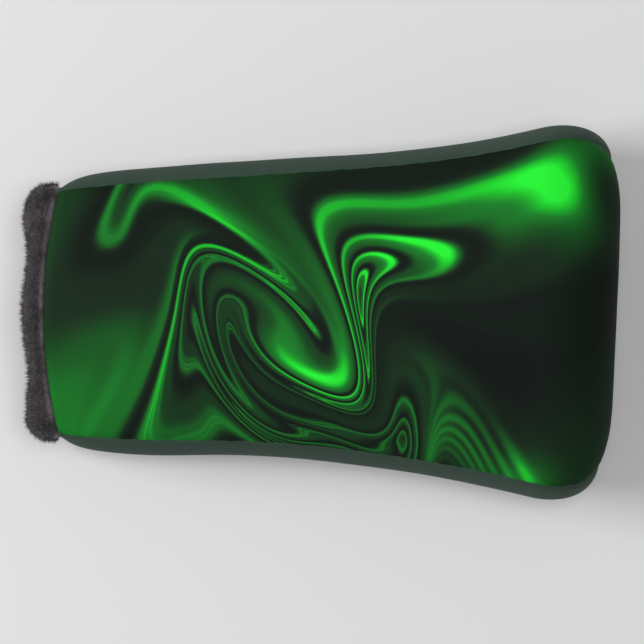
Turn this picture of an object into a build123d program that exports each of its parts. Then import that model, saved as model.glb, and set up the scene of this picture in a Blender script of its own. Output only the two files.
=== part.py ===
from build123d import *
import math
import os

# A sewn putter head cover, lying on its back panel.
# +X runs from the mouth to the closed end, +Y is across the cover and +Z is up.
# The shell is one wrap panel, which runs up the back, round the closed end and down the front,
# with a gusset let in along each side. Foam and a plush lining follow it inside, in the same
# three pieces. A plush trim and a hidden elastic close the mouth.
# While it is made, x is 0 at the mouth's corners and z is 0 on the table. At the end it is
# moved so that the origin is under the middle of the cover.
# A depth is measured into the wall from the cover's outside, and an inset in from its outline
# as seen from above.

# Plan
MOUTH_HALF_WIDTH = 43.5      # centreline to the gusset's outside at the mouth
TAPER = 0.055                # its spread for each mm of length
TAPER_LENGTH = 60.0          # mouth to where the sides start to flare
COVER_LENGTH = 177.0         # mouth's corners to the closed end, on the centreline
CORNER_Y = 44.5              # centreline to where the closed end's corners start
CORNER_RADIUS = 14.6
END_SKEW = 0.042             # the closed end's slant
RIM_BOW = 5.4                # how far the mouth's edge bows out at the middle

# Depth
MOUTH_HEIGHT = 40.0
HEIGHT_GAIN = 0.078          # the front panel's rise for each mm of length
FRONT_TURN_RADIUS = 25.0     # where the wrap panel turns over the closed end
BACK_TURN_RADIUS = 22.0

# Layers
SHELL_THICKNESS = 1.6
FOAM_THICKNESS = 3.0
LINING_THICKNESS = 5.0       # knitted backing and pile
GUSSET_BAND = 4.6            # the gusset's width seen from above, outside its seam
FOAM_TRIM = 2.0              # the foam is cut back this far from each seam
TURN_STEP = 0.4              # the gusset's corner stays this far inside the wrap panel's end

# Mouth
TRIM_LENGTH = 10.0           # how far the plush trim stands out from the mouth's corners
TRIM_BOW = 1.4               # how far its own edge bows out at the middle
TRIM_PROUD = 1.5             # how far it stands out from the shell's face
ELASTIC_SETBACK = 2.0        # mouth's edge to the elastic
ELASTIC_WIDTH = 10.0
ELASTIC_THICKNESS = 1.2
ELASTIC_GAP = 1.15           # shell to elastic, with the mouth's stitching between them
FOAM_GAP = 1.0               # elastic's inner edge to the foam

# Thread
THREAD_RADIUS = 0.35
THREAD_CLEARANCE = 0.25
STITCH_PITCH = 5.0
STITCH_LENGTH = 4.2
MOUTH_STITCH_SETBACK = 5.0   # mouth's edge to the mouth's stitching
STITCH_START_GAP = 3.0       # a seam's first stitch stays this far from what it would cross

SHELL_DEPTH = SHELL_THICKNESS
FOAM_DEPTH = SHELL_DEPTH + FOAM_THICKNESS
LINING_DEPTH = FOAM_DEPTH + LINING_THICKNESS
LINING_SEAM_INSET = FOAM_DEPTH + LINING_THICKNESS / 2
SHELL_THREAD_DEPTH = SHELL_DEPTH + THREAD_CLEARANCE + THREAD_RADIUS
LINING_THREAD_DEPTH = FOAM_DEPTH - THREAD_CLEARANCE - THREAD_RADIUS
ELASTIC_DEPTH = SHELL_DEPTH + ELASTIC_GAP
ELASTIC_END = ELASTIC_SETBACK + ELASTIC_WIDTH
PAST_MOUTH = RIM_BOW + TRIM_LENGTH + 10.0
PAST_END = 30.0
TOOL_SIZE = 500.0
POINT_SPACING = 4.0          # along the lines that the stitches follow
CORNER_POINTS = 6


class Side:
    """One long side's outline from above: a taper, a flare arc and the end's corner arc."""

    def __init__(self, side):
        self.side = side
        slope = math.atan(TAPER)
        self.across = (math.sin(slope), math.cos(slope))
        self.flare_start = (TAPER_LENGTH, MOUTH_HALF_WIDTH + TAPER * TAPER_LENGTH)
        end_x = COVER_LENGTH + END_SKEW * side * CORNER_Y
        self.corner = (end_x - TURN_STEP - CORNER_RADIUS, CORNER_Y)
        # The flare's circle leaves the taper and meets the corner's circle without a kink.
        a = self.flare_start[0] - self.corner[0]
        b = self.flare_start[1] - self.corner[1]
        room = CORNER_RADIUS + a * self.across[0] - b * self.across[1]
        self.flare_radius = (a * a + b * b - CORNER_RADIUS**2) / (2 * room)
        self.flare = (
            self.flare_start[0] - self.flare_radius * self.across[0],
            self.flare_start[1] + self.flare_radius * self.across[1],
        )

    def mouth_point(self, inset, x):
        return x, MOUTH_HALF_WIDTH + TAPER * x - inset / self.across[1]

    def flare_point(self, inset, x):
        radius = self.flare_radius + inset
        return x, self.flare[1] - math.sqrt(radius**2 - (x - self.flare[0]) ** 2)

    def corner_point(self, inset, degrees):
        radius = CORNER_RADIUS - inset
        angle = math.radians(degrees)
        return self.corner[0] + radius * math.cos(angle), self.corner[1] + radius * math.sin(angle)

    def corner_start(self):
        """The corner arc's first angle, where the flare meets it."""
        run = self.flare[0] - self.corner[0]
        rise = self.flare[1] - self.corner[1]
        return math.degrees(math.atan2(rise, run))

    def long_run(self, inset, first_x):
        """Points along a line at an inset, from near the mouth to where the corner starts."""
        taper_end = TAPER_LENGTH + inset * self.across[0]
        last_x = self.corner_point(inset, self.corner_start())[0]
        steps = round((last_x - first_x) / POINT_SPACING)
        points = []
        for i in range(steps + 1):
            x = first_x + (last_x - first_x) * i / steps
            on_taper = x < taper_end
            points.append(self.mouth_point(inset, x) if on_taper else self.flare_point(inset, x))
        return points

    def corner_run(self, inset):
        """Points along the corner's arc at an inset."""
        return [
            self.corner_point(inset, self.corner_start() * (1 - i / CORNER_POINTS))
            for i in range(CORNER_POINTS + 1)
        ]

    def edges(self, inset, end_trim):
        """The outline's edges at an inset, on past the closed end."""
        taper_end = TAPER_LENGTH + inset * self.across[0]
        start = self.mouth_point(inset, -PAST_MOUTH)
        flare_start = self.mouth_point(inset, taper_end)
        corner_start = self.corner_point(inset, self.corner_start())
        flare_middle = self.flare_point(inset, (taper_end + corner_start[0]) / 2)
        corner_middle = self.corner_point(inset, self.corner_start() / 2)
        corner_end = self.corner_point(inset, 0)
        past_end = (COVER_LENGTH + PAST_END, CORNER_Y - end_trim)
        edges = [
            Edge.make_line(self.at(start), self.at(flare_start)),
            Edge.make_three_point_arc(
                self.at(flare_start), self.at(flare_middle), self.at(corner_start)
            ),
            Edge.make_three_point_arc(
                self.at(corner_start), self.at(corner_middle), self.at(corner_end)
            ),
        ]
        turn = (corner_end[0], CORNER_Y - end_trim)
        if end_trim:
            edges.append(Edge.make_line(self.at(corner_end), self.at(turn)))
        edges.append(Edge.make_line(self.at(turn), self.at(past_end)))
        return edges

    def at(self, point):
        return Vector(point[0], self.side * point[1], 0)


LEFT = Side(1)
RIGHT = Side(-1)


def plan(inset, end_trim=0.0):
    """Everything inside the outline at an inset, as a tall prism that is open at both ends."""
    left = LEFT.edges(inset, end_trim)
    right = RIGHT.edges(inset, end_trim)
    across_end = Edge.make_line(left[-1] @ 1, right[-1] @ 1)
    across_mouth = Edge.make_line(left[0] @ 0, right[0] @ 0)
    face = Face(Wire(left + right + [across_end, across_mouth]))
    prism = Solid.extrude(face, Vector(0, 0, TOOL_SIZE))
    return prism.moved(Location((0, 0, -TOOL_SIZE / 2)))


def front_z(x, depth):
    """The front panel's height over the straight part, at a depth."""
    return MOUTH_HEIGHT + HEIGHT_GAIN * x - depth * math.hypot(1, HEIGHT_GAIN)


FRONT_TURN_X = COVER_LENGTH - FRONT_TURN_RADIUS
FRONT_TURN_Z = front_z(FRONT_TURN_X, FRONT_TURN_RADIUS)
BACK_TURN_X = COVER_LENGTH - BACK_TURN_RADIUS
BACK_TURN_Z = BACK_TURN_RADIUS
LEAN = math.degrees(math.atan(HEIGHT_GAIN))


def front_turn(depth, degrees):
    """A point on the front turn: 0 is at the closed end's tip."""
    radius = FRONT_TURN_RADIUS - depth
    angle = math.radians(degrees)
    return FRONT_TURN_X + radius * math.cos(angle), FRONT_TURN_Z + radius * math.sin(angle)


def back_turn(depth, degrees):
    radius = BACK_TURN_RADIUS - depth
    angle = math.radians(degrees)
    return BACK_TURN_X + radius * math.cos(angle), BACK_TURN_Z - radius * math.sin(angle)


def profile(depth):
    """Everything inside the wrap panel's side profile at a depth, as a wide slanted prism."""

    def at(point):
        return Vector(point[0] - END_SKEW * TOOL_SIZE / 2, -TOOL_SIZE / 2, point[1])

    start = -PAST_MOUTH - END_SKEW * TOOL_SIZE
    low, high = (start, depth), (start, front_z(start, depth))
    top = front_turn(depth, 90 + LEAN)
    tip_high, tip_low = front_turn(depth, 0), back_turn(depth, 0)
    bottom = back_turn(depth, 90)
    high_middle = front_turn(depth, (90 + LEAN) / 2)
    low_middle = back_turn(depth, 45)
    edges = [
        Edge.make_line(at(low), at(high)),
        Edge.make_line(at(high), at(top)),
        Edge.make_three_point_arc(at(top), at(high_middle), at(tip_high)),
        Edge.make_line(at(tip_high), at(tip_low)),
        Edge.make_three_point_arc(at(tip_low), at(low_middle), at(bottom)),
        Edge.make_line(at(bottom), at(low)),
    ]
    return Solid.extrude(Face(Wire(edges)), Vector(END_SKEW, 1, 0) * TOOL_SIZE)


def beyond_bow(bow, corner_x, setback=0.0):
    """Everything further in than a bowed line through corner_x at the mouth's corners."""
    radius = (MOUTH_HALF_WIDTH**2 + bow**2) / (2 * bow)
    column = Solid.make_cylinder(radius - setback, TOOL_SIZE)
    return column.moved(Location((corner_x + radius - bow, 0, -TOOL_SIZE / 2)))


def beyond_rim(setback):
    """Everything further in than a line that follows the mouth's bowed edge at a setback."""
    return beyond_bow(RIM_BOW, 0, setback)


def body(depth):
    """The cover as if solid, taken in by depth all over but at the mouth."""
    return plan(depth) & profile(depth)


def ring(outer_depth, inner_depth, start, end):
    """A band round the mouth between two depths, from beyond start to where beyond end begins."""
    return (body(outer_depth) & start) - body(inner_depth) - end


def wall_z(x, depth):
    """The back and the front panel's height at a depth, x along the unslanted profile."""
    over_front = max(x - FRONT_TURN_X, 0)
    over_back = max(x - BACK_TURN_X, 0)
    front = front_z(x, depth)
    if over_front:
        front = FRONT_TURN_Z + math.sqrt((FRONT_TURN_RADIUS - depth) ** 2 - over_front**2)
    return BACK_TURN_Z - math.sqrt((BACK_TURN_RADIUS - depth) ** 2 - over_back**2), front


def stitch_rows(side, inset, depth, first_x):
    """Stitches along a gusset's front and back seams and round the closed end."""
    rows = []
    for run in (side.long_run(inset, first_x), side.corner_run(inset)):
        for level in (0, 1):
            points = []
            for x, y in run:
                z = wall_z(x - END_SKEW * side.side * y, depth)[level]
                points.append(Vector(x, side.side * y, z))
            rows += stitches(Edge.make_spline(points))
    lean_x = END_SKEW * side.side * CORNER_Y
    corner_x = side.corner_point(inset, 0)[0] - lean_x
    high = math.degrees(math.acos((corner_x - FRONT_TURN_X) / (FRONT_TURN_RADIUS - depth)))
    low = math.degrees(math.acos((corner_x - BACK_TURN_X) / (BACK_TURN_RADIUS - depth)))
    shares = [i / CORNER_POINTS for i in range(CORNER_POINTS + 1)]
    turn = [front_turn(depth, high * (1 - share)) for share in shares]
    turn += [back_turn(depth, low * share) for share in shares]
    end_y = CORNER_Y - THREAD_CLEARANCE - THREAD_RADIUS
    end = [Vector(x + lean_x, side.side * end_y, z) for x, z in turn]
    return rows + stitches(Edge.make_spline(end))


def stitches(line):
    """As many whole stitches as a line takes, with half a gap at each of its ends."""
    row = []
    count = int(line.length / STITCH_PITCH)
    first = (line.length - count * STITCH_PITCH + STITCH_PITCH - STITCH_LENGTH) / 2
    for i in range(count):
        start = line.position_at((first + i * STITCH_PITCH) / line.length)
        end = line.position_at((first + i * STITCH_PITCH + STITCH_LENGTH) / line.length)
        plane = Plane(origin=start, z_dir=end - start)
        row.append(Solid.make_cylinder(THREAD_RADIUS, (end - start).length, plane))
    return row


def left_and_right(shape):
    """The shape's two solids, with the one at +Y first."""
    right, left = shape.solids().sort_by(Axis.Y)
    return left, right


past_mouth_stitches = MOUTH_STITCH_SETBACK + STITCH_START_GAP
past_elastic = ELASTIC_END + STITCH_START_GAP
foam_start = beyond_rim(ELASTIC_END + FOAM_GAP)
rim = beyond_rim(0)
above_table = Solid.make_box(TOOL_SIZE, TOOL_SIZE, TOOL_SIZE)
above_table = above_table.moved(Location((-TOOL_SIZE / 2, -TOOL_SIZE / 2, 0)))
pieces = {}

# Shell
shell = (body(0) - body(SHELL_DEPTH)) & rim
pieces["printed_wrap_panel"] = shell & plan(GUSSET_BAND)
pieces["left_gusset"], pieces["right_gusset"] = left_and_right(shell - plan(GUSSET_BAND))

# Foam
wrap_foam = (profile(SHELL_DEPTH) - profile(FOAM_DEPTH)) & foam_start
pieces["wrap_foam"] = wrap_foam & plan(LINING_SEAM_INSET + FOAM_TRIM, FOAM_TRIM)
gusset_foam = ((plan(SHELL_DEPTH) - plan(FOAM_DEPTH)) & profile(FOAM_DEPTH)) & foam_start
pieces["left_gusset_foam"], pieces["right_gusset_foam"] = left_and_right(gusset_foam)

# Lining
wrap_lining = ((profile(FOAM_DEPTH) - profile(LINING_DEPTH)) & rim) & plan(LINING_SEAM_INSET)
gusset_lining = ((body(FOAM_DEPTH) - body(LINING_DEPTH)) & rim) - wrap_lining
pieces["wrap_lining"] = wrap_lining
pieces["left_gusset_lining"], pieces["right_gusset_lining"] = left_and_right(gusset_lining)

# Mouth
trim_edge = beyond_bow(TRIM_BOW, -TRIM_LENGTH)
pieces["plush_mouth_trim"] = ring(-TRIM_PROUD, LINING_DEPTH, trim_edge, rim) & above_table
pieces["mouth_elastic"] = ring(
    ELASTIC_DEPTH,
    ELASTIC_DEPTH + ELASTIC_THICKNESS,
    beyond_rim(ELASTIC_SETBACK),
    beyond_rim(ELASTIC_END),
)

# Thread
for side, name in ((LEFT, "left"), (RIGHT, "right")):
    pieces[f"{name}_seam_thread"] = Compound(
        stitch_rows(side, GUSSET_BAND, SHELL_THREAD_DEPTH, past_mouth_stitches)
    )
    pieces[f"{name}_lining_thread"] = Compound(
        stitch_rows(side, LINING_SEAM_INSET, LINING_THREAD_DEPTH, past_elastic)
    )
pieces["mouth_seam_thread"] = ring(
    SHELL_THREAD_DEPTH - THREAD_RADIUS,
    SHELL_THREAD_DEPTH + THREAD_RADIUS,
    beyond_rim(MOUTH_STITCH_SETBACK - THREAD_RADIUS),
    beyond_rim(MOUTH_STITCH_SETBACK + THREAD_RADIUS),
)

solids = [solid for piece in pieces.values() for solid in piece.solids()]
box = Compound(solids).bounding_box()
to_origin = Location((-box.center().X, -box.center().Y, -box.min.Z))
os.makedirs("parts", exist_ok=True)
for name, piece in pieces.items():
    export_step(Compound(piece.solids()).moved(to_origin), f"parts/{name}.step")
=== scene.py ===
import math

import bmesh
import bpy
import numpy as np
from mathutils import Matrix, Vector, noise


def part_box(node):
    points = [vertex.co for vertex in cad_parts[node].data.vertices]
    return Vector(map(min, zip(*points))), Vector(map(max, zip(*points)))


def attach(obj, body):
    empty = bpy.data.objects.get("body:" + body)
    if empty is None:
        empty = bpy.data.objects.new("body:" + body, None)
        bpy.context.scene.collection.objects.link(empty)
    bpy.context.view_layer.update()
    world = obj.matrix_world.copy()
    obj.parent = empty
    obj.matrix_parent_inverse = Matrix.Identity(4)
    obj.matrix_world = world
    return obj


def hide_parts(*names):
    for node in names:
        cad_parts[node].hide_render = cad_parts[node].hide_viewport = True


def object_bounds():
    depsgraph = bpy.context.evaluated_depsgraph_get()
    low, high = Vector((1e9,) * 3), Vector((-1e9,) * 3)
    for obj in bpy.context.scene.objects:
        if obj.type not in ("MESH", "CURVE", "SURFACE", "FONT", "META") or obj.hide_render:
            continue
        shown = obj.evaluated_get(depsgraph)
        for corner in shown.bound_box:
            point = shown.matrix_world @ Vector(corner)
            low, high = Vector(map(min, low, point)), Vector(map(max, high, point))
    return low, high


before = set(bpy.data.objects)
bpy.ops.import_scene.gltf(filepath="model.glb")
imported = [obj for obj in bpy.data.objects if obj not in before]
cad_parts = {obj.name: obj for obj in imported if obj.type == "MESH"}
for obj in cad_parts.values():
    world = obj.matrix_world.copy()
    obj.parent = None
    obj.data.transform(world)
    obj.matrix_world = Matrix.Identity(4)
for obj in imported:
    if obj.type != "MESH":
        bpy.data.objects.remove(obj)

cad_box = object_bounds()

# ---------------------------------------------------------------------------------------------
# Printed wrap panel
# One strip of satin polyester, printed by dye sublimation. It runs up the back, round the closed
# end and down the front, and foam under it gives it its crown. Sizes here are in millimetres
# from the mouth's corners and the table, and go to metres in the frame when a mesh is made.
# ---------------------------------------------------------------------------------------------
MM = 0.001
# The CAD panel's mouth edge bows out by 5.4 mm at its middle. Sewn and stuffed, it bows by less.
built_rim_bow = 5.4
mouth_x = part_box("printed_wrap_panel")[0].x + built_rim_bow * MM
rim_bow = 4.2
# Seen from above, each seam swells a little past the mouth and flares at the closed end.
mouth_half_width = 39.0
taper = 0.05
flare = 7.5
flare_power = 4
fullness = 0.8
fullness_middle = 28.0
fullness_width = 24.0
straight_length = 152.0
# The closed end turns back within this depth, full in its middle and rounded at its corners.
turn_depth = 22.4
end_bulge = 3.4
end_squareness = 7
end_fullness = 0.7
corner_rounding = 14.0
end_skew = 0.042
# The stuffed body bows a little to one side.
sway = 1.3
sway_middle = 70.0
sway_width = 42.0
# The gussets bulge, but for a share that the elastic draws in at the mouth.
gusset_bulge = 4.9
drawn_in = 0.85
drawn_in_length = 4.5
mouth_seam_height = 28.0
end_seam_height = 39.0
mouth_crown = 7.0
end_crown = 8.0
back_crown = 5.8
back_seam_z = 5.0
# Each layer is pressed flat on the table, just above the last, within a soft edge.
layer_rise = 0.9
table_gap = 0.05
table_softness = 0.4
shell_thickness = 1.6
# The shell dips to a crease at each seam and to a folded hem at the mouth.
crease_dip = 0.55
crease_width = 1.3
pucker = 0.35
pucker_rates = (0.83, 0.29)
hem_dip = 0.7
hem_width = 0.9
# How deep the panel's lumps are, how wide, and their noise seed.
wrap_lumps = [(0.45, 38, 1), (0.12, 14, 2)]
wrap_lump_fade = 9.0
# A mesh's rows gather towards the mouth and the closed end, and its columns towards the seams.
mouth_gathering = 1.15
end_gathering = 1.4
seam_gathering = 0.82
# Corners this close are one, and edges this short are left out.
joined_within = 0.002
shortest_edge = 0.0001
rim_radius = (mouth_half_width**2 + rim_bow**2) / (2 * rim_bow)
rim_centre_x = rim_radius - rim_bow
# Each noise seed reads the noise this much further on.
noise_steps = (17.3, 7.1, 3.7)


def soft_noise(points, size, seed):
    """Smooth noise from -1 to 1 at points in millimetres, with lumps about size across."""
    shift = Vector([seed * step for step in noise_steps])
    flat = points.reshape(-1, 3) / size
    values = [noise.noise(Vector(p) + shift) for p in flat]
    return np.array(values).reshape(points.shape[:-1])


class Form:
    """The cover's section x in from the mouth's corners, then turn radians round its end."""

    def __init__(self, x, turn):
        share = x / straight_length
        inside = np.maximum(x, 0)
        self.sin, self.cos = np.sin(turn), np.cos(turn)
        self.fall = np.maximum(self.cos, 0) ** end_fullness
        end_spread = taper + flare_power * flare / straight_length
        swell = fullness * np.exp(-(((x - fullness_middle) / fullness_width) ** 2))
        flared = flare * (inside / straight_length) ** flare_power
        self.seam_y = mouth_half_width + taper * x + flared + swell
        self.seam_y = self.seam_y + end_spread * turn_depth * self.sin
        self.seam_y = self.seam_y - corner_rounding * (1 - self.cos)
        self.bulge = gusset_bulge * (1 - drawn_in * np.exp(-inside / drawn_in_length))
        self.crown = mouth_crown + (end_crown - mouth_crown) * share
        self.half_height = (mouth_seam_height + (end_seam_height - mouth_seam_height) * share) / 2
        self.mid_z = back_seam_z + self.half_height
        front_slope = 2 * np.arctan(self.crown / self.seam_y)
        side_slope = 2 * np.arctan(self.bulge / self.half_height)
        mitre = 1 + np.sin(front_slope + side_slope)
        self.mitre_y = (np.sin(front_slope) + np.cos(side_slope)) / mitre
        self.mitre_z = (np.cos(front_slope) + np.sin(side_slope)) / mitre

    def crease(self, depth):
        """Half the width between the seams and half the height between them, at a depth."""
        return self.seam_y - self.mitre_y * depth, self.half_height - self.mitre_z * depth


def rim_x(y):
    """The mouth's bowed edge."""
    return rim_centre_x - np.sqrt(rim_radius**2 - y**2)


def placed(x, y, z):
    """Points with the closed end's slant and the stuffed body's slight sideways bow."""
    slant = end_skew * y * (x / (straight_length + turn_depth)) ** 2
    bow = sway * np.exp(-(((x - sway_middle) / sway_width) ** 2))
    return np.stack(np.broadcast_arrays(x + slant, y + bow, z), -1)


def side_rows(straight, turning):
    """Rows from the mouth to the closed end: the share run, and the angle turned round it."""
    start = np.linspace(0, 1, straight) ** mouth_gathering
    run = np.concatenate([start, np.ones(turning)])
    left = np.linspace(1, 0, turning + 1)[1:]
    turn = np.concatenate([np.zeros(straight), math.pi / 2 * (1 - left**end_gathering)])
    return run, turn


def strip_rows(straight, turning, setback=0.0):
    """A strip's rows from the mouth over the closed end and back: run, turn and level."""
    run, turn = side_rows(straight, turning)
    run = np.concatenate([run, run[-2::-1]])
    turn = np.concatenate([turn, turn[-2::-1]])
    level = np.concatenate([np.ones(straight + turning), -np.ones(straight + turning - 1)])
    return run, turn, level, setback


def wrap_points(rows, across, depth):
    """The wrap panel's surface at a depth, for rows along it and shares across it."""
    run, turn, level, setback = rows
    run, turn, level = (a[:, None] for a in (run, turn, level))
    share = across[None, :]
    start = rim_x(share * (mouth_half_width + taper * setback)) + setback
    x = start + (straight_length - start) * run
    form = Form(x, turn)
    seam_y, seam_z = form.crease(depth)
    crown = np.where(level > 0, form.crown, back_crown)
    rise = form.half_height + crown - depth - seam_z
    z = form.mid_z + level * form.fall * (seam_z + rise * (1 - share**2))
    table = np.maximum(depth, 0) * layer_rise + table_gap
    z = (z + table + np.sqrt((z - table) ** 2 + table_softness**2)) / 2
    reach = turn_depth + end_bulge * (1 - np.abs(share) ** end_squareness) - depth
    return placed(x + reach * form.sin, share * seam_y, z)


def from_mouth(rows):
    """How far each row is from the mouth along the seam."""
    return (rows[0] * straight_length + rows[1] * turn_depth)[:, None]


def crease_depth(rows, distance):
    """How far the shell dips towards its seam, with a small pucker at each few stitches."""
    along = from_mouth(rows)
    short, long = (along * rate for rate in pucker_rates)
    puckered = 1 + pucker * np.sin(short) * np.sin(long + 1)
    return crease_dip * puckered * np.exp(-((distance / crease_width) ** 2))


def gathered(columns):
    """Shares from -1 to 1 that gather towards both seams, where the crease is."""
    quarter = math.pi / 2 * seam_gathering
    return np.sin(np.linspace(-1, 1, columns) * quarter) / math.sin(quarter)


def grid_faces(rows, columns, first, turned):
    """Faces of a grid of points that starts at a first point, turned over if asked."""
    faces = []
    for i in range(rows - 1):
        for j in range(columns - 1):
            a = first + i * columns + j
            face = (a, a + columns, a + columns + 1, a + 1)
            faces.append(face[::-1] if turned else face)
    return faces


def skin(name, outer, inner, uv=None, folded=False):
    """A closed sheet of cloth, foam or plush. A folded one's last row lies double on itself."""
    rows, columns = outer.shape[:2]
    count = rows * columns
    faces = grid_faces(rows, columns, 0, False) + grid_faces(rows, columns, count, True)
    edge = [i * columns for i in range(rows)]
    edge += [(rows - 1) * columns + j for j in range(1, columns)]
    edge += [i * columns + columns - 1 for i in range(rows - 2, -1, -1)]
    edge += [j for j in range(columns - 2, 0, -1)]
    for a, b in zip(edge, edge[1:] + edge[:1]):
        if not (folded and min(a, b) >= (rows - 1) * columns):
            faces.append((a, a + count, b + count, b))
    points = np.concatenate([outer.reshape(-1, 3), inner.reshape(-1, 3)]) * MM
    points[:, 0] += mouth_x
    mesh = bpy.data.meshes.new(name)
    mesh.from_pydata(points.tolist(), [], faces)
    piece = bpy.data.objects.new(name, mesh)
    bpy.context.scene.collection.objects.link(piece)
    if uv is not None:
        layer = mesh.uv_layers.new(name="strip")
        both = np.concatenate([uv.reshape(-1, 2), uv.reshape(-1, 2)])
        corner = np.zeros(len(mesh.loops), dtype=np.int32)
        mesh.loops.foreach_get("vertex_index", corner)
        layer.data.foreach_set("uv", both[corner].ravel().astype(np.float32))
    merge(mesh)
    return piece


def merge(mesh):
    """Closes poles and seams, and turns every face outwards."""
    work = bmesh.new()
    work.from_mesh(mesh)
    bmesh.ops.remove_doubles(work, verts=work.verts, dist=joined_within * MM)
    bmesh.ops.dissolve_degenerate(work, edges=work.edges, dist=shortest_edge * MM)
    bmesh.ops.recalc_face_normals(work, faces=work.faces)
    work.to_mesh(mesh)
    work.free()
    mesh.polygons.foreach_set("use_smooth", [True] * len(mesh.polygons))
    mesh.update()


def settle(piece, node, material=None):
    """Puts a finished piece on its body, in place of its CAD node."""
    if material:
        piece.data.materials.clear()
        piece.data.materials.append(material)
    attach(piece, "root")
    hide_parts(node)


def srgb(code):
    """A six-digit sRGB hex colour as linear RGBA."""
    parts = [int(code[i : i + 2], 16) / 255 for i in (0, 2, 4)]
    linear = [p / 12.92 if p <= 0.04045 else ((p + 0.055) / 1.055) ** 2.4 for p in parts]
    return (*linear, 1.0)


def add_node(tree, kind, inputs=(), stops=(), **settings):
    """Adds a node with its settings, its inputs and, for a ramp, its colour stops.

    An input is a value, a socket, or a node that stands for its first enabled output.
    """
    node = tree.nodes.new(kind)
    for name, value in settings.items():
        setattr(node, name, value)
    for key, value in inputs.items() if isinstance(inputs, dict) else enumerate(inputs):
        if isinstance(value, bpy.types.Node):
            value = next(output for output in value.outputs if output.enabled)
        if isinstance(value, bpy.types.NodeSocket):
            tree.links.new(value, node.inputs[key])
        else:
            node.inputs[key].default_value = value
    for _ in stops[2:]:
        node.color_ramp.elements.new(0.5)
    for i, (place, code) in enumerate(stops):
        node.color_ramp.elements[i].position = place
        node.color_ramp.elements[i].color = srgb(code)
    return node


def new_material(name):
    """A material with a bare Principled shader, its tree and its shader."""
    material = bpy.data.materials.new(name)
    material.use_nodes = True
    tree = material.node_tree
    return material, tree, tree.nodes["Principled BSDF"]


# Satin polyester with a sublimated print: the dye is in the cloth, so the colour is even and
# deep, with a soft sheen and no relief but the weave. The print is a generic liquid marbling.
printed_polyester, tree, shader = new_material("printed_satin_polyester")
strip = add_node(tree, "ShaderNodeUVMap", uv_map="strip").outputs["UV"]
# The print is laid out in units of 100 mm along the strip and across it.
strip_unit = 100.0
# Ripples bend the print's plane: shift x and y, radians for each unit along x and y, phase.
ripples = [
    (0.11, 0.08, 3.4, 3.6, 3.8),
    (0.01, 0.04, 3.0, -0.3, 3.4),
    (0.02, -0.03, 9.9, 4.7, 2.4),
]
# Swirls stir it: centre x and y, radius, degrees.
swirls = [(0.70, -0.11, 0.33, 215), (1.05, -0.14, 0.32, -150), (0.31, 0.27, 0.18, 70)]
# Drops of dye spread in it: centre x and y, radii, turn in degrees, strength in lines.
drops = [
    (0.95, -0.24, 0.08, 0.12, 68, 4.0),
    (1.18, 0.26, 0.21, 0.08, -18, 4.6),
    (0.52, -0.10, 0.07, 0.33, 0, 1.7),
    (0.74, -0.22, 0.34, 0.06, 40, 3.7),
    (0.16, 0.22, 0.10, 0.26, -35, 1.3),
]
# Bright patches: centre x and y, radii, turn in degrees, brightness.
glows = [
    (0.34, -0.34, 0.28, 0.08, 61, 1.1),
    (1.46, 0.33, 0.30, 0.10, 19, 1.1),
    (0.73, 0.30, 0.58, 0.15, 16, 0.4),
    (1.62, -0.42, 0.09, 0.08, 0, 0.9),
    (0.72, 0.19, 0.25, 0.04, 9, 0.8),
    (1.55, -0.08, 0.30, 0.27, 0, -0.5),
    (0.10, -0.05, 0.22, 0.16, 30, -0.2),
]
plain_glow = 0.36
brightest_glow = 1.2
darkest = 0.02
# Plain lines are a unit apart in this direction.
line_direction = (0.8, 0.6, 0)
line_skew = 0.85
line_sharpness = 1.7
drop_softness = 0.02
# Bundles of fine lines: centre x and y, radii, turn in degrees, fine lines to one of the print's.
bundles = [
    (1.42, -0.40, 0.34, 0.16, 20, 14),
    (1.05, 0.02, 0.20, 0.26, -20, 6),
    (0.36, -0.22, 0.20, 0.30, 25, 9),
]
bundle_strength = 0.8
place = strip
# Here and below, 1 / e to the power of a distance fades smoothly from 1 at a centre.
for shift_x, shift_y, rate_x, rate_y, phase in ripples:
    rates = (rate_x, rate_y, 0)
    run = add_node(tree, "ShaderNodeVectorMath", [place, rates], operation="DOT_PRODUCT")
    run = add_node(tree, "ShaderNodeMath", [run, phase], operation="ADD")
    wave = add_node(tree, "ShaderNodeMath", [run], operation="SINE")
    shift = {0: (shift_x, shift_y, 0), "Scale": wave}
    push = add_node(tree, "ShaderNodeVectorMath", shift, operation="SCALE")
    place = add_node(tree, "ShaderNodeVectorMath", [place, push], operation="ADD")
for x, y, radius, degrees in swirls:
    away = add_node(tree, "ShaderNodeVectorMath", [place, (x, y, 0)], operation="DISTANCE")
    near = add_node(tree, "ShaderNodeMath", [away, radius], operation="DIVIDE")
    near = add_node(tree, "ShaderNodeMath", [near, near], operation="MULTIPLY")
    fade = add_node(tree, "ShaderNodeMath", [1 / math.e, near], operation="POWER")
    angle = add_node(tree, "ShaderNodeMath", [fade, math.radians(degrees)], operation="MULTIPLY")
    stir = {"Vector": place, "Center": (x, y, 0), "Angle": angle}
    place = add_node(tree, "ShaderNodeVectorRotate", stir, rotation_type="Z_AXIS")


def spread(x, y, radius_x, radius_y, degrees):
    """The squared distance from a patch's centre, in its own radii."""
    patch = {
        "Vector": place,
        "Location": (x, y, 0),
        "Rotation": (0, 0, math.radians(degrees)),
        "Scale": (radius_x, radius_y, 1),
    }
    local = add_node(tree, "ShaderNodeMapping", patch, vector_type="TEXTURE")
    return add_node(tree, "ShaderNodeVectorMath", [local, local], operation="DOT_PRODUCT")


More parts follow.
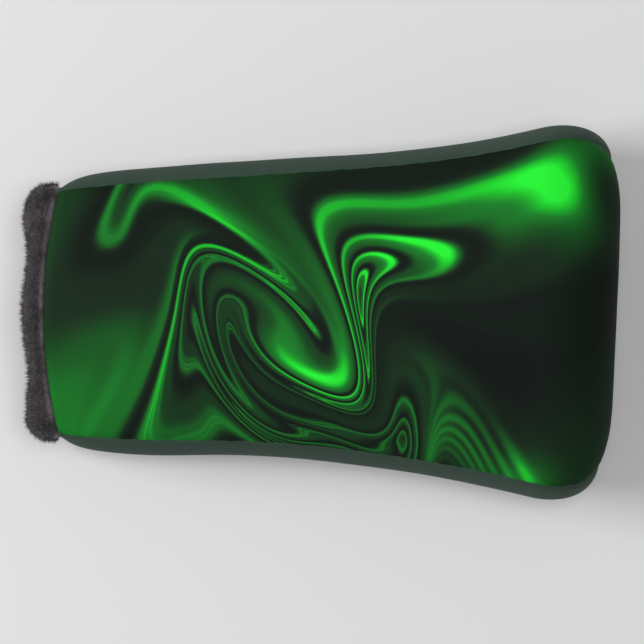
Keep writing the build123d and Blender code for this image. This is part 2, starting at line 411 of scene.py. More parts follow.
lines = add_node(tree, "ShaderNodeVectorMath", [place, line_direction], operation="DOT_PRODUCT")
for *shape, strength in drops:
    square = add_node(tree, "ShaderNodeMath", [spread(*shape), drop_softness], operation="ADD")
    far = add_node(tree, "ShaderNodeMath", [square], operation="SQRT")
    hill = add_node(tree, "ShaderNodeMath", [1 / math.e, far], operation="POWER")
    lines = add_node(tree, "ShaderNodeMath", [hill, strength, lines], operation="MULTIPLY_ADD")
glow = plain_glow
for *shape, strength in glows:
    patch = add_node(tree, "ShaderNodeMath", [1 / math.e, spread(*shape)], operation="POWER")
    glow = add_node(tree, "ShaderNodeMath", [patch, strength, glow], operation="MULTIPLY_ADD")
glow = add_node(tree, "ShaderNodeMath", [glow, brightest_glow], operation="MINIMUM")
# A skewed wave gives each line one sharp edge and one soft one, as if the dyes had folded.
phase = add_node(tree, "ShaderNodeMath", [lines, 2 * math.pi], operation="MULTIPLY")
lag = add_node(tree, "ShaderNodeMath", [phase], operation="COSINE")
phase = add_node(tree, "ShaderNodeMath", [lag, line_skew, phase], operation="MULTIPLY_ADD")
wave = add_node(tree, "ShaderNodeMath", [phase], operation="COSINE")
ridge = add_node(tree, "ShaderNodeMath", [wave, 0.5, 0.5], operation="MULTIPLY_ADD")
ridge = add_node(tree, "ShaderNodeMath", [ridge, line_sharpness], operation="POWER")
for *shape, count in bundles:
    near = add_node(tree, "ShaderNodeMath", [1 / math.e, spread(*shape)], operation="POWER")
    fine = add_node(tree, "ShaderNodeMath", [phase, count], operation="MULTIPLY")
    fine = add_node(tree, "ShaderNodeMath", [fine], operation="COSINE")
    half = bundle_strength / 2
    groove = add_node(tree, "ShaderNodeMath", [fine, half, half], operation="MULTIPLY_ADD")
    groove = add_node(tree, "ShaderNodeMath", [groove, near], operation="MULTIPLY")
    groove = add_node(tree, "ShaderNodeMath", [1.0, groove], operation="SUBTRACT")
    ridge = add_node(tree, "ShaderNodeMath", [ridge, groove], operation="MULTIPLY")
bright = add_node(tree, "ShaderNodeMath", [ridge, glow, darkest], operation="MULTIPLY_ADD")
greens = [
    (0.0, "0f1412"),
    (0.1, "162c1a"),
    (0.22, "17501f"),
    (0.45, "1b7f2a"),
    (0.7, "1fc42d"),
    (1.0, "29f538"),
]
colour = add_node(tree, "ShaderNodeValToRGB", [bright], greens)
tree.links.new(colour.outputs["Color"], shader.inputs["Base Color"])
# Handling leaves the satin a little duller in some places than in others.
wear_size = 22.0
worn = {"Vector": strip, "Scale": strip_unit / wear_size, "Detail": 3.0}
worn = add_node(tree, "ShaderNodeTexNoise", worn)
dull = add_node(tree, "ShaderNodeMapRange", {0: worn, "To Min": 0.56, "To Max": 0.76})
tree.links.new(dull.outputs[0], shader.inputs["Roughness"])
shader.inputs["Specular IOR Level"].default_value = 0.08


def weave(tree, shader, along, across, pitch):
    """Bump from a plain weave, with pitch as one thread in the coordinates' own unit."""
    warp = add_node(tree, "ShaderNodeMath", [along, math.pi / pitch], operation="MULTIPLY")
    warp = add_node(tree, "ShaderNodeMath", [warp], operation="SINE")
    weft = add_node(tree, "ShaderNodeMath", [across, math.pi / pitch], operation="MULTIPLY")
    weft = add_node(tree, "ShaderNodeMath", [weft], operation="SINE")
    height = add_node(tree, "ShaderNodeMath", [warp, weft], operation="MULTIPLY")
    bump = add_node(tree, "ShaderNodeBump", {"Height": height, "Distance": weave_relief * MM})
    tree.links.new(bump.outputs["Normal"], shader.inputs["Normal"])


# The yarn is about 0.15 mm thick. It is drawn three times as coarse, so that close views show it.
weave_pitch = 0.45
weave_relief = 0.01
sides = add_node(tree, "ShaderNodeSeparateXYZ", [strip]).outputs
weave(tree, shader, sides["X"], sides["Y"], weave_pitch / strip_unit)

rows = strip_rows(straight=100, turning=44)
across = gathered(columns=111)
flat = wrap_points(rows, across, 0.0)
form = Form(rows[0] * straight_length, rows[1])
to_seam = (1 - np.abs(across))[None, :] * form.seam_y[:, None]
depth = crease_depth(rows, to_seam) + hem_dip * np.exp(-((from_mouth(rows) / hem_width) ** 2))
for lump_depth, lump_size, seed in wrap_lumps:
    lumps = lump_depth * soft_noise(flat, lump_size, seed)
    depth = depth + lumps * (1 - np.exp(-to_seam / wrap_lump_fade))
outer = wrap_points(rows, across, depth)
inner = wrap_points(rows, across, shell_thickness)
middle = outer[:, len(across) // 2]
along = np.concatenate([[0], np.cumsum(np.linalg.norm(np.diff(middle, axis=0), axis=1))])
# The back shows the front's print mirrored at the closed end's fold.
along = np.minimum(along, along[-1] - along)
uv = np.stack([np.broadcast_to(along[:, None], depth.shape), outer[..., 1]], -1) / strip_unit
wrap = skin("printed_wrap_panel_cloth", outer, inner, uv=uv)
settle(wrap, "printed_wrap_panel", printed_polyester)

# ---------------------------------------------------------------------------------------------
# Gussets
# A plain dark green strip of the same polyester on each side. It is sewn to the wrap panel along
# its whole edge, so it bulges between the seams and draws in where the mouth's elastic pulls.
# ---------------------------------------------------------------------------------------------
# Dyed in one colour, it reads as an even dull green with the faintest mottle and a low sheen.
mottle_size = 16.0
gusset_polyester, tree, shader = new_material("plain_satin_polyester")
place = add_node(tree, "ShaderNodeTexCoord").outputs["Object"]
spots = {"Vector": place, "Scale": 1 / (mottle_size * MM), "Detail": 3.0}
mottle = add_node(tree, "ShaderNodeTexNoise", spots)
colour = add_node(tree, "ShaderNodeValToRGB", [mottle], [(0.3, "31453a"), (0.7, "374b40")])
tree.links.new(colour.outputs["Color"], shader.inputs["Base Color"])
dull = add_node(tree, "ShaderNodeMapRange", {0: mottle, "To Min": 0.56, "To Max": 0.76})
tree.links.new(dull.outputs[0], shader.inputs["Roughness"])
shader.inputs["Specular IOR Level"].default_value = 0.12
sides = add_node(tree, "ShaderNodeSeparateXYZ", [place]).outputs
weave(tree, shader, sides["X"], sides["Z"], weave_pitch * MM)


def gusset_points(rows, upright, depth, side, setback=0.0):
    """A gusset's surface at a depth, for rows along it and shares from back to front seam."""
    run, turn = (a[:, None] for a in rows)
    share = upright[None, :]
    start = rim_x(mouth_half_width + taper * setback) + setback
    x = start + (straight_length - start) * run
    form = Form(x, turn)
    seam_y, seam_z = form.crease(depth)
    out = form.seam_y + form.bulge * np.sqrt(np.maximum(form.cos, 0)) - depth - seam_y
    y = side * (seam_y + out * (1 - share**2))
    z = form.mid_z + share * seam_z * form.fall
    return placed(x + (turn_depth - depth) * form.sin, y, z)


gusset_lump_depth = 0.5
gusset_lump_size = 30
gusset_lump_fade = 5.0
rows = side_rows(straight=100, turning=44)
upright = gathered(columns=49)
form = Form(rows[0] * straight_length, rows[1])
to_seam = (1 - np.abs(upright))[None, :] * (form.half_height * form.fall)[:, None]
for side, name in ((1, "left"), (-1, "right")):
    flat = gusset_points(rows, upright, 0.0, side)
    lumps = gusset_lump_depth * soft_noise(flat, gusset_lump_size, 3 + side)
    depth = crease_depth(rows, to_seam) + lumps * (1 - np.exp(-to_seam / gusset_lump_fade))
    outer = gusset_points(rows, upright, depth, side)
    inner = gusset_points(rows, upright, shell_thickness, side)
    gusset = skin(f"{name}_gusset_cloth", outer, inner, folded=True)
    settle(gusset, f"{name}_gusset", gusset_polyester)

# ---------------------------------------------------------------------------------------------
# Foam
# Open-cell foam sheet, die cut to the same three shapes and laminated inside the shell. It stops
# short of each seam and of the mouth's elastic, so that they can be sewn.
# ---------------------------------------------------------------------------------------------
foam_depth = 4.6
foam_setback = 13.0
foam_gap = 0.05
# The shares of the panel's width and of the gussets' height and turn that the foam covers.
wrap_foam_width = 0.94
gusset_foam_height = 0.8
gusset_foam_turn = 0.75
# Polyurethane foam is matt and cream, and pitted all over with small open cells. Its cream is
# painted darker down into each pit, as painted shade.
cell_size = 1.1
cell_depth = 0.4
foam, tree, shader = new_material("open_cell_foam")
place = add_node(tree, "ShaderNodeTexCoord").outputs["Object"]
pits = {"Vector": place, "Scale": 1 / (cell_size * MM)}
cells = add_node(tree, "ShaderNodeTexVoronoi", pits)
# Darker where each cell's pit is deepest: painted shade.
colour = add_node(tree, "ShaderNodeValToRGB", [cells], [(0.0, "b9b6a8"), (0.6, "d9d6c9")])
tree.links.new(colour.outputs["Color"], shader.inputs["Base Color"])
bump = add_node(tree, "ShaderNodeBump", {"Height": cells, "Distance": cell_depth * MM})
tree.links.new(bump.outputs["Normal"], shader.inputs["Normal"])
dull = add_node(tree, "ShaderNodeMapRange", {0: cells, "To Min": 0.98, "To Max": 0.86})
tree.links.new(dull.outputs[0], shader.inputs["Roughness"])

foam_top = shell_thickness + foam_gap
foam_bottom = foam_depth - foam_gap
rows = strip_rows(straight=40, turning=20, setback=foam_setback)
across = np.linspace(-wrap_foam_width, wrap_foam_width, num=41)
outer = wrap_points(rows, across, foam_top)
inner = wrap_points(rows, across, foam_bottom)
pad = skin("wrap_foam_pad", outer, inner)
settle(pad, "wrap_foam", foam)
run, turn = side_rows(straight=40, turning=16)
rows = (run, turn * gusset_foam_turn)
upright = np.linspace(-gusset_foam_height, gusset_foam_height, num=15)
for side, name in ((1, "left"), (-1, "right")):
    outer = gusset_points(rows, upright, foam_top, side, foam_setback)
    inner = gusset_points(rows, upright, foam_bottom, side, foam_setback)
    pad = skin(f"{name}_gusset_foam_pad", outer, inner)
    settle(pad, f"{name}_gusset_foam", foam)

# ---------------------------------------------------------------------------------------------
# Lining
# Charcoal plush, a knitted backing with a cut pile, sewn as a second bag of the same three
# pieces. Its pile faces the putter's head, and shows through the open mouth.
# ---------------------------------------------------------------------------------------------
lining_depth = 9.6
lining_lump_depth = 0.35
lining_lump_size = 5
# Cut polyester pile is matt. Its colour goes from dark to grey in broad brushed patches and from
# fibre to fibre, and in tufts whose dips are painted dark and tops grey: painted shade between
# the fibres and painted light along their tips. Plush with no tone stored for its fibres is
# painted darkest, as painted shade at the fibres' roots.
tuft_size = 2.0
patch_size = 6.5
tuft_relief = 0.8
tuft_light_and_shade_share = 0.25
patch_share = 0.55
fibre_share = 0.2
plush, tree, shader = new_material("charcoal_plush")
place = add_node(tree, "ShaderNodeTexCoord").outputs["Object"]
small = {"Vector": place, "Scale": 1 / (tuft_size * MM), "Detail": 4.0}
tufts = add_node(tree, "ShaderNodeTexNoise", small)
broad = {"Vector": place, "Scale": 1 / (patch_size * MM), "Detail": 2.0}
patches = add_node(tree, "ShaderNodeTexNoise", broad)
fibre_tone_and_painted_light = add_node(tree, "ShaderNodeAttribute", attribute_name="shade").outputs["Fac"]
# Tufts add painted light on their tops and painted shade in their dips; an unset fibre tone adds
# painted shade at the roots.
mixed = add_node(tree, "ShaderNodeMath", [patches, patch_share], operation="MULTIPLY")
for pattern, weight in ((tufts, tuft_light_and_shade_share), (fibre_tone_and_painted_light, fibre_share)):
    mixed = add_node(tree, "ShaderNodeMath", [pattern, weight, mixed], operation="MULTIPLY_ADD")
greys = [(0.3, "1d191b"), (0.48, "383235"), (0.68, "655c62")]
colour = add_node(tree, "ShaderNodeValToRGB", [mixed], greys)
tree.links.new(colour.outputs["Color"], shader.inputs["Base Color"])
bump = add_node(tree, "ShaderNodeBump", {"Height": tufts, "Distance": tuft_relief * MM})
tree.links.new(bump.outputs["Normal"], shader.inputs["Normal"])
dull = add_node(tree, "ShaderNodeMapRange", {0: tufts, "To Min": 0.88, "To Max": 1.0})
tree.links.new(dull.outputs[0], shader.inputs["Roughness"])
shader.inputs["Sheen Weight"].default_value = 0.3
shader.inputs["Sheen Roughness"].default_value = 0.5

rows = strip_rows(straight=70, turning=24)
across = np.linspace(-1, 1, num=71)
outer = wrap_points(rows, across, foam_depth)
flat = wrap_points(rows, across, lining_depth)
depth = lining_depth + lining_lump_depth * soft_noise(flat, lining_lump_size, 7)
inner = wrap_points(rows, across, depth)
lining = skin("wrap_lining_plush", outer, inner)
settle(lining, "wrap_lining", plush)
rows = side_rows(straight=70, turning=24)
upright = np.linspace(-1, 1, num=21)
for side, name in ((1, "left"), (-1, "right")):
    outer = gusset_points(rows, upright, foam_depth, side)
    inner = gusset_points(rows, upright, lining_depth, side)
    lining = skin(f"{name}_gusset_lining_plush", outer, inner, folded=True)
    settle(lining, f"{name}_gusset_lining", plush)

# ---------------------------------------------------------------------------------------------
# Seam and lining threads
# Bonded polyester thread. One row joins the shell's pieces from inside along each gusset, and
# another the lining's, so none of it shows from outside.
# ---------------------------------------------------------------------------------------------
stitch_pitch = 5.0
stitch_length = 4.2
thread_radius = 0.35
shell_thread_depth = 2.4
shell_thread_setback = 8.0
lining_thread_depth = 3.9
lining_thread_setback = 15.0
# Twisted filament with a smooth bonded coat: green to match the shell, flecked by its twist.
twist_length = 0.7
thread, tree, shader = new_material("bonded_polyester_thread")
place = add_node(tree, "ShaderNodeTexCoord").outputs["Object"]
flecks = {"Vector": place, "Scale": 1 / (twist_length * MM)}
twist = add_node(tree, "ShaderNodeTexNoise", flecks)
colour = add_node(tree, "ShaderNodeValToRGB", [twist], [(0.3, "2a3a30"), (0.7, "3c5044")])
tree.links.new(colour.outputs["Color"], shader.inputs["Base Color"])
dull = add_node(tree, "ShaderNodeMapRange", {0: twist, "To Min": 0.4, "To Max": 0.6})
tree.links.new(dull.outputs[0], shader.inputs["Roughness"])


def node_tree(name, numbers):
    """An empty geometry tree with named number inputs, its group input and its output's entry."""
    tree = bpy.data.node_groups.new(name, "GeometryNodeTree")
    tree.interface.new_socket("Geometry", in_out="INPUT", socket_type="NodeSocketGeometry")
    for number in numbers:
        kind = "NodeSocketInt" if number == "Seed" else "NodeSocketFloat"
        tree.interface.new_socket(number, in_out="INPUT", socket_type=kind)
    tree.interface.new_socket("Geometry", in_out="OUTPUT", socket_type="NodeSocketGeometry")
    return tree, tree.nodes.new("NodeGroupInput").outputs


def end_tree(tree, geometry, material):
    """Ends a geometry tree in plain faces of one material."""
    real = add_node(tree, "GeometryNodeRealizeInstances", [geometry])
    paint = {"Geometry": real, "Material": material}
    painted = add_node(tree, "GeometryNodeSetMaterial", paint)
    add_node(tree, "NodeGroupOutput", [painted])


def grown(name, mesh, tree, sizes):
    """A piece with a plain mesh of what a geometry tree makes on a mesh."""
    carrier = bpy.data.objects.new(name + "_carrier", mesh)
    bpy.context.scene.collection.objects.link(carrier)
    modifier = carrier.modifiers.new(name, "NODES")
    modifier.node_group = tree
    for item in tree.interface.items_tree:
        if item.name in sizes:
            modifier[item.identifier] = sizes[item.name]
    evaluated = carrier.evaluated_get(bpy.context.evaluated_depsgraph_get())
    piece = bpy.data.objects.new(name, bpy.data.meshes.new_from_object(evaluated))
    bpy.context.scene.collection.objects.link(piece)
    carrier.modifiers.remove(modifier)
    bpy.data.objects.remove(carrier)
    return piece


stitch_tree, entry = node_tree("stitches", ["Pitch", "Length", "Radius"])
# Each stitch is a unit bead, drawn out to the stitch's length along its line.
line = add_node(stitch_tree, "GeometryNodeMeshToCurve", {"Mesh": entry["Geometry"]})
spacing = {"Curve": line, "Length": entry["Pitch"]}
spaced = add_node(stitch_tree, "GeometryNodeResampleCurve", spacing, mode="LENGTH")
facets = {"Segments": 8, "Rings": 6, "Radius": 1.0}
bead = add_node(stitch_tree, "GeometryNodeMeshUVSphere", facets)
half = add_node(stitch_tree, "ShaderNodeMath", [entry["Length"], 0.5], operation="MULTIPLY")
radii = {"X": half, "Y": entry["Radius"], "Z": entry["Radius"]}
radii = add_node(stitch_tree, "ShaderNodeCombineXYZ", radii)
tangent = {"Vector": add_node(stitch_tree, "GeometryNodeInputTangent")}
along_line = add_node(stitch_tree, "FunctionNodeAlignRotationToVector", tangent, axis="X")
placing = {"Points": spaced, "Instance": bead, "Rotation": along_line, "Scale": radii}
stitches = add_node(stitch_tree, "GeometryNodeInstanceOnPoints", placing)
end_tree(stitch_tree, stitches, thread)


def sewn(name, lines, closed=False):
    """Rows of stitches along lines of points in millimetres."""
    points, edges = [], []
    for run in lines:
        first = len(points)
        points += [(x * MM + mouth_x, y * MM, z * MM) for x, y, z in run]
        edges += [(i, i + 1) for i in range(first, len(points) - 1)]
        if closed:
            edges.append((len(points) - 1, first))
    mesh = bpy.data.meshes.new(name + "_line")
    mesh.from_pydata(points, edges, [])
    sizes = {"Pitch": stitch_pitch, "Length": stitch_length, "Radius": thread_radius}
    return grown(name, mesh, stitch_tree, {key: size * MM for key, size in sizes.items()})


def seam_lines(side, depth, setback):
    """The front and back seams of one gusset at a depth, from a setback to the closed end."""
    rows = side_rows(straight=60, turning=20)
    ends = gusset_points(rows, np.array([-1.0, 1.0]), depth, side, setback)
    return [ends[:, 0], ends[:, 1]]


for side, name in ((1, "left"), (-1, "right")):
    seams = seam_lines(side, shell_thread_depth, shell_thread_setback)
    settle(sewn(f"{name}_seam_stitches", seams), f"{name}_seam_thread")
    seams = seam_lines(side, lining_thread_depth, lining_thread_setback)
    settle(sewn(f"{name}_lining_stitches", seams), f"{name}_lining_thread")

# ---------------------------------------------------------------------------------------------
# Mouth elastic and its stitching
# A woven elastic band lies in the mouth between the shell and the lining, and draws the gussets
# in. One row of stitching holds the lining, the trim and the shell together outside it.
# ---------------------------------------------------------------------------------------------
elastic_start = 2.0
elastic_width = 10.0
elastic_depth = 2.75
elastic_thickness = 1.2
rib_depth = 0.12
mouth_thread_setback = 5.0
mouth_thread_depth = 2.2
side_points = 121
loop_points = 240
corner_radius = 1.6
# Rubber cores in a polyester weave: matt black, with a rib over each core along the band. Each
# rib is painted lighter along its crest and darker beside it, as painted light and shade.
rib_pitch = 2.0
elastic, tree, shader = new_material("woven_elastic")
place = add_node(tree, "ShaderNodeTexCoord").outputs["Object"]
# A wave texture at scale 1 repeats every pi / 10 of its coordinates' unit.
bands = {"Vector": place, "Scale": math.pi / 10 / (rib_pitch * MM)}
ribs = add_node(tree, "ShaderNodeTexWave", bands, bands_direction="X")
ribs = ribs.outputs["Fac"]
# Lighter stripes along the ribs' crests: painted light and shade.
colour = add_node(tree, "ShaderNodeValToRGB", [ribs], [(0.2, "1c1c1d"), (0.8, "343435")])
tree.links.new(colour.outputs["Color"], shader.inputs["Base Color"])
dull = add_node(tree, "ShaderNodeMapRange", {0: ribs, "To Min": 0.88, "To Max": 0.72})
tree.links.new(dull.outputs[0], shader.inputs["Roughness"])


def mouth_loop(setback, depth, count, rounding=corner_radius):
    """The wall's section at the mouth as a closed, evenly spaced line with rounded corners."""
    share = np.linspace(1, -1, side_points)
    rows = (np.zeros(1), np.zeros(1), np.ones(1), setback)
    front = wrap_points(rows, share, depth)[0]
    back = wrap_points((rows[0], rows[1], -rows[2], setback), share[::-1], depth)[0]
    right = gusset_points(rows[:2], share, depth, -1, setback)[0]
    left = gusset_points(rows[:2], share[::-1], depth, 1, setback)[0]
    loop = np.concatenate([front[:-1], right[:-1], back[:-1], left[:-1]])
    steps = np.linalg.norm(np.diff(loop, axis=0, append=loop[:1]), axis=1)
    travelled = np.concatenate([[0], np.cumsum(steps)])
    wanted = np.arange(count) / count * travelled[-1]
    closed = np.concatenate([loop, loop[:1]])
    even = np.stack([np.interp(wanted, travelled, closed[:, i]) for i in range(3)], -1)
    waves = np.fft.rfft(even, axis=0)
    softness = rounding / travelled[-1] * 2 * math.pi
    fade = np.exp(-0.5 * (np.arange(len(waves)) * softness) ** 2)
    return np.fft.irfft(waves * fade[:, None], count, axis=0)


def tube(name, points, closed):
    """A mesh of a grid of points in millimetres whose rows, if asked, close on each other."""
    rows, columns = points.shape[:2]
    faces = []
    for i in range(rows if closed else rows - 1):
        for j in range(columns):
            a, b = i * columns, (i + 1) % rows * columns
            k = (j + 1) % columns
            faces.append((a + j, b + j, b + k, a + k))
    flat = points.reshape(-1, 3) * MM
    flat[:, 0] += mouth_x
    mesh = bpy.data.meshes.new(name)
    mesh.from_pydata(flat.tolist(), [], faces)
    return mesh


def ring_skin(name, points):
    """A closed ring from a grid of points that closes both ways."""
    mesh = tube(name, points, closed=True)
    piece = bpy.data.objects.new(name, mesh)
    bpy.context.scene.collection.objects.link(piece)
    merge(mesh)
    return piece


band_columns = 12
setbacks = np.linspace(elastic_start, elastic_start + elastic_width, band_columns)
top, low = [], []
for i, setback in enumerate(setbacks):
    groove = rib_depth * (i % 2)
    top.append(mouth_loop(setback, elastic_depth + groove, loop_points))
    low.append(mouth_loop(setback, elastic_depth + elastic_thickness - groove, loop_points))
band = ring_skin("mouth_elastic_band", np.stack(top + low[::-1], 1))
settle(band, "mouth_elastic", elastic)
ring_line = mouth_loop(mouth_thread_setback, mouth_thread_depth, loop_points)
row = sewn("mouth_seam_stitches", [ring_line], closed=True)
settle(row, "mouth_seam_thread")

# ---------------------------------------------------------------------------------------------
# Plush mouth trim
# The lining's plush is rolled out over the mouth's edge and sewn down under the shell, which
# leaves a soft lumpy roll with a narrow tuck beside the print. The pile is cut, so it is fuzzy.
# ---------------------------------------------------------------------------------------------
trim_length = 9.2
trim_bow = 1.6
trim_lobe = 0.8
trim_lobes = 2.3
trim_narrowing = 0.045
trim_narrowing_start = 0.2
trim_narrowing_power = 1.5
trim_tuck = 0.9
trim_spread = 1.055
trim_depth = 5.0
trim_half_thickness = 4.5
trim_clearance = 0.35
# The roll is round towards the open and squarer where it lies against the print.
inner_squareness = 0.55
inner_rounding = 5.0
valley_place = 0.2
valley_width = 0.14
valley_depth = 0.9
flat_side_depth = 0.5
# How high the roll's lumps are, how wide, and their noise seed.
trim_lumps = [(0.9, 16.0, 10), (0.55, 6.0, 11), (0.3, 2.4, 12)]
lump_sink = 0.55
lump_end = 0.9
lump_least = 0.1
# The pile is worn short in a narrow strip beside the print, where the roll is sewn. The roll is
# painted paler in that strip, as painted light, and darker under the fibres, as painted shade at
# their roots.
strip_width = 1.3
strip_fade = 0.8
strip_painted_light = 0.9
# Real pile is about 0.02 mm thick and far denser. It is drawn coarser, so that fibres show.
under_height = 1.2
pile_height = 1.9
fibre_width = 0.2
fibre_density = 3.1
lining_fibre_width = 0.3
lining_fibre_density = 2.6
fibre_curl = 0.17
fibre_lean = 0.45
fibre_stray = 0.75
shortest_fibre = 0.55
longest_fibre = 1.2
pile_gap = 0.05

pile_tree, entry = node_tree("pile", ["Density", "Height", "Width", "Lean", "Seed"])
cone = {"Vertices": 3, "Side Segments": 2, "Radius Top": 0.0}
cone |= {"Radius Bottom": entry["Width"], "Depth": entry["Height"]}
fibre = add_node(pile_tree, "GeometryNodeMeshCone", cone, fill_type="NGON")
# Each fibre curls over by the square of its height.
position = add_node(pile_tree, "GeometryNodeInputPosition")
height = add_node(pile_tree, "ShaderNodeSeparateXYZ", [position]).outputs["Z"]
square = add_node(pile_tree, "ShaderNodeMath", [height, height], operation="MULTIPLY")
curl = add_node(pile_tree, "ShaderNodeMath", [square, fibre_curl / MM], operation="MULTIPLY")
bend = {"Geometry": fibre, "Offset": add_node(pile_tree, "ShaderNodeCombineXYZ", [curl])}
curled = add_node(pile_tree, "GeometryNodeSetPosition", bend)
# It stands off the backing, leans the way the pile is brushed and strays from its neighbours.
share = {"Name": "pile"}
share = add_node(pile_tree, "GeometryNodeInputNamedAttribute", share, data_type="FLOAT")
planted = add_node(pile_tree, "ShaderNodeMath", [share, entry["Density"]], operation="MULTIPLY")
planting = {"Mesh": entry["Geometry"], "Density": planted, "Seed": entry["Seed"]}
roots = add_node(pile_tree, "GeometryNodeDistributePointsOnFaces", planting)
stray = {0: (-fibre_stray,) * 3, 1: (fibre_stray,) * 3, "Seed": 5}
stray = add_node(pile_tree, "FunctionNodeRandomValue", stray, data_type="FLOAT_VECTOR")
lean = add_node(pile_tree, "ShaderNodeCombineXYZ", [entry["Lean"]])
pull = add_node(pile_tree, "ShaderNodeVectorMath", [stray, lean])
aim = add_node(pile_tree, "ShaderNodeVectorMath", [roots.outputs["Normal"], pull])
spin = {0: (0.0, 0.0, 0.0), 1: (0.0, 0.0, 2 * math.pi), "Seed": 6}
spin = add_node(pile_tree, "FunctionNodeRandomValue", spin, data_type="FLOAT_VECTOR")
pose = {"Rotation": spin, "Vector": aim}
turned = add_node(pile_tree, "FunctionNodeAlignRotationToVector", pose, axis="Z")
growth = {2: shortest_fibre, 3: longest_fibre, "Seed": 7}
growth = add_node(pile_tree, "FunctionNodeRandomValue", growth)
placing = {"Points": roots, "Instance": curled, "Rotation": turned, "Scale": growth}
fibres = add_node(pile_tree, "GeometryNodeInstanceOnPoints", placing)
shade = add_node(pile_tree, "FunctionNodeRandomValue", {2: 0.0, 3: 1.0, "Seed": 8})
shaded = add_node(
    pile_tree,
    "GeometryNodeStoreNamedAttribute",
    {"Geometry": fibres, "Name": "shade", "Value": shade},
    data_type="FLOAT",
    domain="INSTANCE",
)
end_tree(pile_tree, shaded, plush)

around = 320
through = 44
base = mouth_loop(0.0, trim_depth, around)
base[:, 1] *= trim_spread
ahead = np.roll(base, -1, axis=0) - np.roll(base, 1, axis=0)
outward = np.stack([np.zeros(around), ahead[:, 2], -ahead[:, 1]], -1)
outward /= np.linalg.norm(outward, axis=1, keepdims=True)
middle = base.mean(axis=0)
outward *= np.sign(np.sum(outward * (base - middle), axis=1, keepdims=True))
across = np.clip(base[:, 1] / mouth_half_width, -1, 1)
outer_x = -trim_length - trim_bow * (1 - across**2)
outer_x = outer_x - trim_lobe * np.cos(trim_lobes * math.pi * across)
inner_x = rim_x(across * mouth_half_width) + trim_tuck
centre_x = (outer_x + inner_x) / 2
half_length = (inner_x - outer_x) / 2
turn = np.arange(through) / through * 2 * math.pi
squareness = np.where(np.cos(turn) > 0, inner_squareness, 1.0)
lengthwise = np.sign(np.cos(turn)) * np.abs(np.cos(turn)) ** squareness
deep = np.sign(np.sin(turn)) * np.abs(np.sin(turn)) ** squareness
valley = valley_depth * np.exp(-(((lengthwise - valley_place) / valley_width) ** 2)) * (deep > 0)
flat_side = flat_side_depth * np.clip(lengthwise, 0, 1) * (deep > 0)
lift = trim_half_thickness * deep - valley - flat_side
roll = np.zeros((around, through, 3))
roll[..., 0] = centre_x[:, None] + half_length[:, None] * lengthwise[None, :]
roll[..., 1:] = base[:, None, 1:] + outward[:, None, 1:] * lift[None, :, None]
# Inside, the plush bunches up in the mouth's corners.
soft_base = mouth_loop(0.0, trim_depth, around, inner_rounding)
bunched = (soft_base - base) * [0, 1, 1]
roll += bunched[:, None, :] * np.clip(-deep, 0, 1)[None, :, None]
narrowed = np.clip(trim_narrowing_start - lengthwise, 0, None) ** trim_narrowing_power
roll[..., 1] *= 1 - trim_narrowing * narrowed[None, :]
centre = np.stack([centre_x, base[:, 1], base[:, 2]], -1)[:, None, :]
away = roll - centre
away /= np.linalg.norm(away, axis=-1, keepdims=True)
lump = sum(height * soft_noise(roll, size, seed) for height, size, seed in trim_lumps)
lump = (lump - lump_sink) * np.clip(lump_end - lengthwise, lump_least, 1)
roll += away * lump[..., None]
roll[..., 2] = np.maximum(roll[..., 2], trim_clearance)
cuff = ring_skin("plush_trim_roll", roll)
corners = np.zeros(len(cuff.data.vertices) * 3)
cuff.data.vertices.foreach_get("co", corners)
corners = corners.reshape(-1, 3) / MM
edge_x = rim_x(np.clip(corners[:, 1], -mouth_half_width, mouth_half_width)) + mouth_x / MM
shown = np.clip((edge_x - corners[:, 0] - strip_width) / strip_fade, 0, 1)
# The roll's stored tone: painted light in the bare strip, painted shade under the pile.
for name, values in (("pile", shown), ("shade", strip_painted_light - strip_painted_light * shown)):
    cuff.data.attributes.new(name, "FLOAT", "POINT").data.foreach_set("value", values)
settle(cuff, "plush_mouth_trim", plush)


def pile_on(name, mesh, height, width, density, seed):
    """Pile on a mesh's faces, pressed flat where it would go through the table."""
    sizes = {"Density": density / MM**2, "Height": height * MM, "Width": width / 2 * MM}
    sizes |= {"Lean": -fibre_lean, "Seed": seed}
    fibres = grown(name, mesh, pile_tree, sizes)
    points = np.zeros(len(fibres.data.vertices) * 3)
    fibres.data.vertices.foreach_get("co", points)
    points[2::3] = np.maximum(points[2::3], pile_gap * MM)
    fibres.data.vertices.foreach_set("co", points)
    return fibres


layers = [("plush_trim_underpile", under_height, 4), ("plush_trim_pile", pile_height, 9)]
for name, height, seed in layers:
    fibres = pile_on(name, cuff.data, height, fibre_width, fibre_density, seed)
    settle(fibres, "plush_mouth_trim")

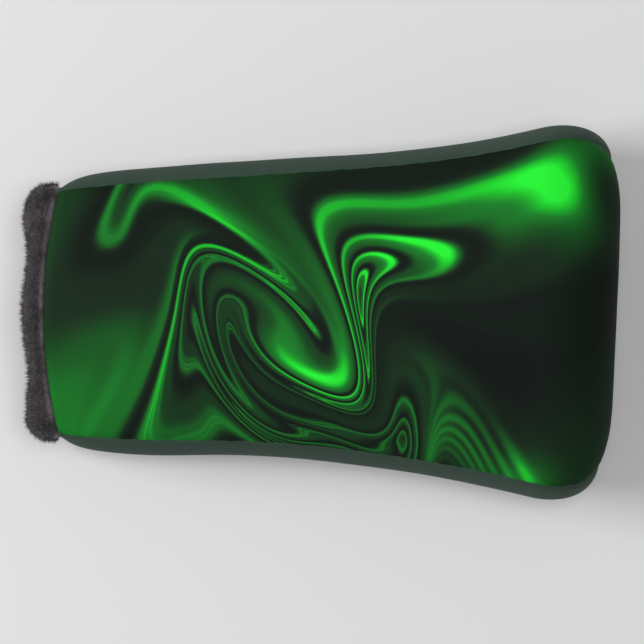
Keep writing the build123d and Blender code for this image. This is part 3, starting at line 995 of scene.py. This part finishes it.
# The lining's own pile is only grown as far in as the mouth shows it, and thins out there. The
# sleeve that it grows on faces inwards.
shown_lining = 50.0
rings = 24
count = 200
setbacks = np.linspace(0, shown_lining, rings)
loops = np.stack([mouth_loop(setback, lining_depth, count) for setback in setbacks])
sleeve = tube("lining_face", loops, closed=False)
fade = np.repeat(np.linspace(1, 0, rings), count) ** 0.5
sleeve.attributes.new("pile", "FLOAT", "POINT").data.foreach_set("value", fade)
sizes = (under_height, lining_fibre_width, lining_fibre_density)
fibres = pile_on("mouth_lining_pile", sleeve, *sizes, seed=21)
settle(fibres, "wrap_lining")
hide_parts("left_gusset_lining", "right_gusset_lining")

# ---------------------------------------------------------------------------------------------
# Floor, light and camera
# A plain pale floor under soft light from high on the left, seen from straight above.
# ---------------------------------------------------------------------------------------------
floor_material, tree, shader = new_material("pale_matt_board")
shader.inputs["Base Color"].default_value = srgb("e3e3e3")
shader.inputs["Roughness"].default_value = 0.9
floor_half_width = 3.0
floor_mesh = bpy.data.meshes.new("floor")
corners = [(-1, -1, 0), (1, -1, 0), (1, 1, 0), (-1, 1, 0)]
corners = [Vector(corner) * floor_half_width for corner in corners]
floor_mesh.from_pydata(corners, [], [(0, 1, 2, 3)])
floor = bpy.data.objects.new("floor", floor_mesh)
bpy.context.scene.collection.objects.link(floor)
floor.data.materials.append(floor_material)

world = bpy.data.worlds.new("studio")
world.use_nodes = True
background = world.node_tree.nodes["Background"]
background.inputs["Color"].default_value = (1, 1, 1, 1)
background.inputs["Strength"].default_value = 0.25
bpy.context.scene.world = world


def softbox(name, place, size, power):
    """A square light in metres and watts, turned to the origin."""
    light = bpy.data.lights.new(name, "AREA")
    light.size = size
    light.energy = power
    box = bpy.data.objects.new(name, light)
    box.location = place
    box.rotation_euler = (-Vector(place)).to_track_quat("-Z", "Y").to_euler()
    bpy.context.scene.collection.objects.link(box)


softbox("key", place=(-1.5, 0.18, 1.12), size=0.9, power=25.2)
softbox("overhead", place=(0.15, 0.05, 1.5), size=0.5, power=7.0)
# The standard view keeps the print's saturated greens.
bpy.context.scene.view_settings.view_transform = "Standard"

# A long lens, in millimetres, sees this width in metres at the object's half height.
lens = 180.0
view_width = 0.206
view_shift = -0.003
camera_data = bpy.data.cameras.new("camera")
camera_data.lens = lens
camera = bpy.data.objects.new("camera", camera_data)
half_height = (cad_box[1][2] - cad_box[0][2]) / 2
view_height = half_height + view_width * lens / camera_data.sensor_width
camera.location = (0, view_shift, view_height)
bpy.context.scene.collection.objects.link(camera)
bpy.context.scene.camera = camera
